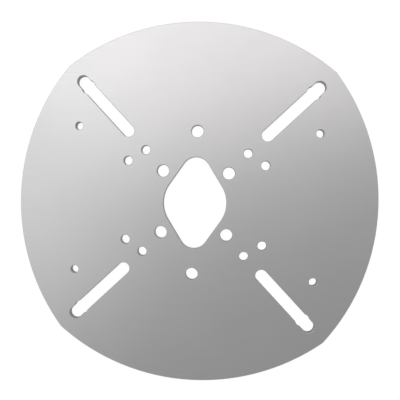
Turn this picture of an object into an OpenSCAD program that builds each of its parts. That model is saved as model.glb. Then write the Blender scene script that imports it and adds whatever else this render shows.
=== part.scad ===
// Satellite dome mounting plate: one flat metal plate with four bowed sides, four diagonal slots
// for the dome's bolts, drilled patterns for fixed bolt spacings and a cable opening in the middle.
// It lies flat. The origin is the middle of its bottom face, +Z points up out of the plate and the
// cable opening is longest along Y. All sizes are in millimetres.

/* [Plate] */
// Width across the middles of two opposite sides
plate_w = 340; // [330:1:390]
// Radius of the four bowed sides
side_r = 202; // [185:1:400]
// Thickness of the plate
plate_t = 6; // [4:0.5:12]
// Chamfer along every cut edge
edge_break = 0.4; // [0.1:0.1:0.8]

/* [Dome slots] */
// Width of the four diagonal slots, which clear an M10 bolt
slot_w = 11.5; // [8:0.5:14]
// Overall length of a slot
slot_l = 76; // [50:0.5:84]
// Metal left between a slot and the plate's corner
slot_margin = 14.5; // [8:0.5:22]
// How much wider than the slot its drilled spot near the outer end is
spot_extra = 1.75; // [0.5:0.25:4]
// Distance of the drilled spot inside the centre of the slot's outer end
spot_back = 7.5; // [3:0.5:30]

/* [Dome holes] */
// Diameter of the four outermost holes
outer_d = 7.5; // [4:0.5:10]
// Spacing of the outermost holes along X
outer_x = 228; // [200:1:270]
// Spacing of the outermost holes along Y
outer_y = 138.5; // [100:0.5:150]
// Diameter of the eight holes inside the slots
inner_d = 8.5; // [4:0.5:10]
// Spacing, along both X and Y, of the four that lie on the diagonals
diagonal_xy = 97; // [90:0.5:100]
// Spacing along X of the four that lie beside them
beside_x = 130.5; // [124:0.5:160]
// Spacing along Y of the four that lie beside them
beside_y = 75.5; // [50:0.5:80]

/* [Pedestal holes] */
// Diameter of the six holes round the cable opening, which clear an M10 bolt
pedestal_d = 11.5; // [6:0.5:12]
// Spacing of the four nearest holes along X
pedestal_x = 62.5; // [60:0.5:70]
// Spacing of the four nearest holes along Y
pedestal_y = 58.5; // [56:0.5:66]
// Spacing of the two holes on the long axis of the opening
pedestal_axis_y = 135.5; // [120:0.5:180]

/* [Cable opening] */
// Width of the opening, which is the diameter of its round middle
opening_w = 60; // [50:1:64]
// Length of the opening
opening_l = 87; // [80:1:94]
// Radius of the opening's two ends
opening_end_r = 13.5; // [8:0.5:18]

/* [Hidden] */
$fn = 120;
// Overrun of the cutters above and below the plate
over = 1;
// How far straight walls lie inside the round ones they run into, so that they cross cleanly
inset = 0.01;
// Distance of the arcs' centres from the middle of the plate
arc_c = side_r - plate_w / 2;
// Distance of a plate corner from the middle of the plate
corner_r = (sqrt(2 * side_r * side_r - arc_c * arc_c) - arc_c) / sqrt(2);
// Distances of a slot's end centres from the middle of the plate
slot_out = corner_r - slot_margin - slot_w / 2;
slot_in = slot_out - slot_l + slot_w;
// Distance of the opening's end centres from the middle of the plate
opening_c = opening_l / 2 - opening_end_r;
// Angle between X and the normal of the opening's straight flanks, which touch both of its circles
flank_a = asin((opening_w / 2 - opening_end_r) / opening_c);

// Half of a cutter's section: distance r from the middle, widened by the chamfer at both faces
function half_section(r) = [
    [r + edge_break + over, -over],
    [r, edge_break],
    [r, plate_t - edge_break],
    [r + edge_break + over, plate_t + over]
];

// The same half section on the other side of the middle, in the order that closes the outline
function other_half(r) = [for (i = [3:-1:0]) [-half_section(r)[i][0], half_section(r)[i][1]]];

// Round cutter that leaves a chamfered hole of diameter d
module drilled(d) {
    rotate_extrude()
        polygon(concat([[0, -over]], half_section(d / 2), [[0, plate_t + over]]));
}

// Straight cutter between two round ones of diameter w or more, from the origin to length along +X
module milled(length, w) {
    rotate([90, 0, 90])
        linear_extrude(height = length)
            polygon(concat(half_section(w / 2 - inset), other_half(w / 2 - inset)));
}

// Copies in the four quarters of the plate
module in_quarters(x, y) {
    for (i = [-1, 1], j = [-1, 1])
        translate([i * x / 2, j * y / 2, 0])
            children();
}

// Disc with chamfered rims, of the bowed sides' radius
module side_disc() {
    rotate_extrude()
        polygon([
            [0, 0],
            [side_r - edge_break, 0],
            [side_r, edge_break],
            [side_r, plate_t - edge_break],
            [side_r - edge_break, plate_t],
            [0, plate_t]
        ]);
}

// The blank: what four discs, each shifted towards one side, have in common
module blank() {
    intersection() {
        translate([arc_c, 0, 0]) side_disc();
        translate([-arc_c, 0, 0]) side_disc();
        translate([0, arc_c, 0]) side_disc();
        translate([0, -arc_c, 0]) side_disc();
    }
}

// Slot along +X with round ends and a drilled spot near its outer end
module slot() {
    translate([slot_in, 0, 0]) drilled(slot_w);
    translate([slot_in, 0, 0]) milled(slot_out - slot_in, slot_w);
    translate([slot_out, 0, 0]) drilled(slot_w);
    translate([slot_out - spot_back, 0, 0]) drilled(slot_w + spot_extra);
}

// Cable opening: a round middle and two round ends, joined by straight flanks
module cable_opening() {
    drilled(opening_w);
    for (j = [0, 1])
        mirror([0, j, 0])
            translate([0, opening_c, 0]) {
                drilled(2 * opening_end_r);
                for (i = [0, 1])
                    mirror([i, 0, 0])
                        rotate([0, 0, flank_a - 90])
                            milled(opening_c * cos(flank_a), 2 * opening_end_r);
            }
}

module mounting_plate() {
    color([0.78, 0.79, 0.8])
        difference() {
            blank();
            for (a = [45:90:315])
                rotate([0, 0, a]) slot();
            in_quarters(outer_x, outer_y) drilled(outer_d);
            in_quarters(diagonal_xy, diagonal_xy) drilled(inner_d);
            in_quarters(beside_x, beside_y) drilled(inner_d);
            in_quarters(pedestal_x, pedestal_y) drilled(pedestal_d);
            for (j = [-1, 1])
                translate([0, j * pedestal_axis_y / 2, 0]) drilled(pedestal_d);
            cable_opening();
        }
}

mounting_plate();
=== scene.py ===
# Satellite dome mounting plate: one satin aluminium plate on a white floor, seen from above
import math

import bmesh
import bpy
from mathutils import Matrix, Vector

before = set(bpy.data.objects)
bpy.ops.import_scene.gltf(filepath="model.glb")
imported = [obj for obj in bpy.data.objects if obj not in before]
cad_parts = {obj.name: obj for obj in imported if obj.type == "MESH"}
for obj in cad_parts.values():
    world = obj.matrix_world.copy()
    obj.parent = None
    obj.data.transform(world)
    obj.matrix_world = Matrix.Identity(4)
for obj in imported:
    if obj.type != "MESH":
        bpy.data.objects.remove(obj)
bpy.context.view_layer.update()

# Camera: metres and degrees, 0.38 m above the plate and almost square to it
CAMERA_PLACE = (0.02912, 0.01337, 0.38379)
CAMERA_TURN = (-1.415, 3.706, 2.409)
CAMERA_LENS_MM = 36.0
CAMERA_SENSOR_MM = 36.0
CAMERA_NEAREST = 0.01

# Satin faces of the sheet: two close tones, mixed by clouds and by streaks along X
FACE_DARK = (0.585, 0.585, 0.585, 1.0)
FACE_LIGHT = (0.609, 0.609, 0.609, 1.0)
FACE_ROUGH = (0.43, 0.49)
CLOUD_SHARE = 0.7
STREAK_SHARE = 1.0 - CLOUD_SHARE

# Cut walls: a rougher cut finish, darkened with painted shade that stands in for the shade inside the
# holes and along the rim; the broken edges lie between them and the faces in tone, so they carry part of
# that painted shade
CUT_DARK_PAINTED_SHADE = (0.21, 0.21, 0.21, 1.0)
CUT_LIGHT_PAINTED_SHADE = (0.29, 0.29, 0.29, 1.0)
CUT_ROUGH = (0.48, 0.62)

# Flatness, 1 where the metal lies flat and 0 where it stands up, at which it is all wall or all face
WALL_FLATNESS = 0.45
FACE_FLATNESS = 0.95

# Grain: features in a metre along X, Y and Z
HAIRLINES = (45.0, 2200.0, 45.0)
STREAKS = (11.0, 420.0, 11.0)
CLOUDS = (16.0, 16.0, 16.0)
PITS = (2600.0, 2600.0, 2600.0)
CUT_LINES = (1300.0, 1300.0, 14.0)
GRAIN_HEIGHT = 0.00004
GRAIN_STRENGTH = 0.08

# The middle of a noise's range, which holds nearly all of it
NOISE_MIDDLE = (0.3, 0.7)
HAIRLINE_MIDDLE = (0.25, 0.75)

# Floor: metres; it lies just under the plate, so that the two don't share a plane
FLOOR_HALF_SIDE = 30.0
FLOOR_DROP = 0.0002
FLOOR_PALE = (0.8, 0.8, 0.8, 1.0)
FLOOR_SHADE = (0.05, 0.05, 0.05, 1.0)
FLOOR_GLOW = 0.97

# Room: levels where 1 is white; its walls turn into its ceiling between two heights, as sines of the angle
ROOM_COLOUR = (1.0, 1.0, 1.0, 1.0)
WALL_LEVEL = 1.0
CEILING_LEVEL = 0.358
WALL_TOP = 0.22
CEILING_EDGE = 0.50

# Softboxes: metres, and levels where 1 is white; the wide one at the back is faintly pink
SOFTBOXES = {
    "softbox_back": {
        "place": (0.089, 0.702, 1.163), "aim": (0.341, -0.492, 0.290),
        "width": 1.8, "height": 1.1, "level": 1.498, "tint": (1.0, 0.966, 0.983)},
    "softbox_left": {
        "place": (-0.558, 0.053, 0.50), "aim": (0.0, 0.0, 0.0),
        "width": 0.85, "height": 0.85, "level": 0.691, "tint": (1.0, 1.0, 1.0)},
}


def new_material(name):
    """A material with no nodes yet, and its node tree."""
    material = bpy.data.materials.new(name)
    material.use_nodes = True
    material.node_tree.nodes.clear()
    return material, material.node_tree


def node(tree, kind, inputs=None, **settings):
    """A node with its settings; inputs gives plain values or sockets to link, by input name or number."""
    made = tree.nodes.new(kind)
    for name, value in settings.items():
        setattr(made, name, value)
    for name, value in (inputs or {}).items():
        if isinstance(value, bpy.types.NodeSocket):
            tree.links.new(value, made.inputs[name])
        else:
            made.inputs[name].default_value = value
    return made


def maths(tree, operation, *values):
    """The result of one operation on one or two values."""
    return node(tree, "ShaderNodeMath", dict(enumerate(values)), operation=operation).outputs[0]


def spread(tree, value, low, high, to_low, to_high, **settings):
    """A value carried from one range to another."""
    return node(tree, "ShaderNodeMapRange", {
        "Value": value, "From Min": low, "From Max": high,
        "To Min": to_low, "To Max": to_high}, **settings).outputs["Result"]


def two_tones(tree, factor, first, second):
    """A colour between two others; a Mix node's colours are its inputs 6 and 7 and its output 2."""
    return node(tree, "ShaderNodeMix", {0: factor, 6: first, 7: second}, data_type="RGBA").outputs[2]


def between(tree, factor, first, second):
    """A value between two others; a Mix node's values are its inputs 2 and 3 and its output 0."""
    return node(tree, "ShaderNodeMix", {0: factor, 2: first, 3: second}, data_type="FLOAT").outputs[0]


def grain(tree, where, features, detail, roughness=0.5):
    """Noise with the given features in a metre along X, Y and Z."""
    scaled = node(tree, "ShaderNodeMapping", {"Vector": where, "Scale": features})
    return node(tree, "ShaderNodeTexNoise", {
        "Vector": scaled.outputs["Vector"], "Scale": 1.0,
        "Detail": detail, "Roughness": roughness}).outputs["Fac"]


def satin_aluminium():
    """Satin faces, and walls and edges with fine lines through the sheet, their darker tone painted shade.
    """
    material, tree = new_material("satin_aluminium")
    coords = node(tree, "ShaderNodeTexCoord")
    where = coords.outputs["Object"]
    facing = node(tree, "ShaderNodeSeparateXYZ", {"Vector": coords.outputs["Normal"]})
    flatness = maths(tree, "ABSOLUTE", facing.outputs["Z"])
    cut = spread(tree, flatness, WALL_FLATNESS, FACE_FLATNESS, 1.0, 0.0)

    hairline = grain(tree, where, HAIRLINES, detail=3.0, roughness=0.6)
    streak = grain(tree, where, STREAKS, detail=2.0)
    cloud = grain(tree, where, CLOUDS, detail=3.0)
    pits = grain(tree, where, PITS, detail=1.0)
    cut_lines = grain(tree, where, CUT_LINES, detail=2.0, roughness=0.6)

    cloud_part = spread(tree, cloud, *NOISE_MIDDLE, 0.0, CLOUD_SHARE)
    streak_part = spread(tree, streak, *NOISE_MIDDLE, 0.0, STREAK_SHARE)
    face_tone = two_tones(tree, maths(tree, "ADD", cloud_part, streak_part), FACE_DARK, FACE_LIGHT)
    # Walls and broken edges: dark greys of painted shade on a rougher cut finish, varied by lines through
    # the sheet
    cut_lines_and_painted_shade = two_tones(tree, spread(tree, cut_lines, *NOISE_MIDDLE, 0.0, 1.0), CUT_DARK_PAINTED_SHADE, CUT_LIGHT_PAINTED_SHADE)
    tone = two_tones(tree, cut, face_tone, cut_lines_and_painted_shade)

    face_rough = spread(tree, hairline, *HAIRLINE_MIDDLE, *FACE_ROUGH)
    cut_rough = spread(tree, cut_lines, *NOISE_MIDDLE, *CUT_ROUGH)
    rough = between(tree, cut, face_rough, cut_rough)

    height = between(tree, cut, maths(tree, "ADD", hairline, pits), cut_lines)
    bump = node(tree, "ShaderNodeBump", {
        "Strength": GRAIN_STRENGTH, "Distance": GRAIN_HEIGHT, "Height": height})

    metal = node(tree, "ShaderNodeBsdfPrincipled", {
        "Base Color": tone, "Metallic": 1.0, "Roughness": rough, "Normal": bump.outputs["Normal"]})
    node(tree, "ShaderNodeOutputMaterial", {"Surface": metal.outputs["BSDF"]})
    return material


def floor_white():
    """White to the camera and in reflections, with a faint shadow; plain and pale to all other light."""
    material, tree = new_material("floor_white")
    path = node(tree, "ShaderNodeLightPath")
    reflected = maths(tree, "MAXIMUM", path.outputs["Is Glossy Ray"], path.outputs["Is Transmission Ray"])
    seen = maths(tree, "MAXIMUM", path.outputs["Is Camera Ray"], reflected)
    pale = node(tree, "ShaderNodeBsdfDiffuse", {"Color": FLOOR_PALE})
    shade = node(tree, "ShaderNodeBsdfDiffuse", {"Color": FLOOR_SHADE})
    glow = node(tree, "ShaderNodeEmission", {"Strength": FLOOR_GLOW})
    white = node(tree, "ShaderNodeAddShader", {0: shade.outputs[0], 1: glow.outputs[0]})
    surface = node(tree, "ShaderNodeMixShader", {0: seen, 1: pale.outputs[0], 2: white.outputs[0]})
    node(tree, "ShaderNodeOutputMaterial", {"Surface": surface.outputs[0]})
    return material


def make_floor():
    """One flat sheet under the plate, out to the horizon."""
    mesh = bpy.data.meshes.new("floor")
    sheet = bmesh.new()
    bmesh.ops.create_grid(sheet, x_segments=1, y_segments=1, size=FLOOR_HALF_SIDE)
    bmesh.ops.translate(sheet, verts=sheet.verts, vec=(0.0, 0.0, -FLOOR_DROP))
    sheet.to_mesh(mesh)
    sheet.free()
    mesh.materials.append(floor_white())
    floor = bpy.data.objects.new("floor", mesh)
    bpy.context.scene.collection.objects.link(floor)


def softbox(name, place, aim, width, height, level, tint):
    """A flat lamp turned to its aim; its power follows from its level and its area."""
    lamp = bpy.data.lights.new(name, "AREA")
    lamp.shape = "RECTANGLE"
    lamp.size = width
    lamp.size_y = height
    lamp.energy = level * math.pi * width * height
    lamp.color = tint
    holder = bpy.data.objects.new(name, lamp)
    bpy.context.scene.collection.objects.link(holder)
    holder.location = place
    holder.rotation_euler = (Vector(aim) - Vector(place)).to_track_quat("-Z", "Y").to_euler()
    holder.visible_camera = False


def studio():
    """A white room with a darker ceiling, a wide softbox behind the plate and a small one at its left."""
    world = bpy.data.worlds.new("studio")
    bpy.context.scene.world = world
    world.use_nodes = True
    tree = world.node_tree
    tree.nodes.clear()
    coords = node(tree, "ShaderNodeTexCoord")
    direction = node(tree, "ShaderNodeSeparateXYZ", {"Vector": coords.outputs["Generated"]})
    level = spread(tree, direction.outputs["Z"], WALL_TOP, CEILING_EDGE, WALL_LEVEL, CEILING_LEVEL,
                   interpolation_type="SMOOTHSTEP")
    room = node(tree, "ShaderNodeBackground", {"Color": ROOM_COLOUR, "Strength": level})
    node(tree, "ShaderNodeOutputWorld", {"Surface": room.outputs[0]})
    for name, box in SOFTBOXES.items():
        softbox(name, **box)


def camera_above():
    """The camera at the photograph's angle."""
    lens = bpy.data.cameras.new("camera")
    lens.lens = CAMERA_LENS_MM
    lens.sensor_width = CAMERA_SENSOR_MM
    lens.clip_start = CAMERA_NEAREST
    camera = bpy.data.objects.new("camera", lens)
    bpy.context.scene.collection.objects.link(camera)
    camera.location = CAMERA_PLACE
    camera.rotation_euler = [math.radians(turn) for turn in CAMERA_TURN]
    bpy.context.scene.camera = camera


bpy.context.scene.view_settings.view_transform = "Standard"
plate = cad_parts["mounting_plate"]
plate.data.materials.clear()
plate.data.materials.append(satin_aluminium())
make_floor()
studio()
camera_above()
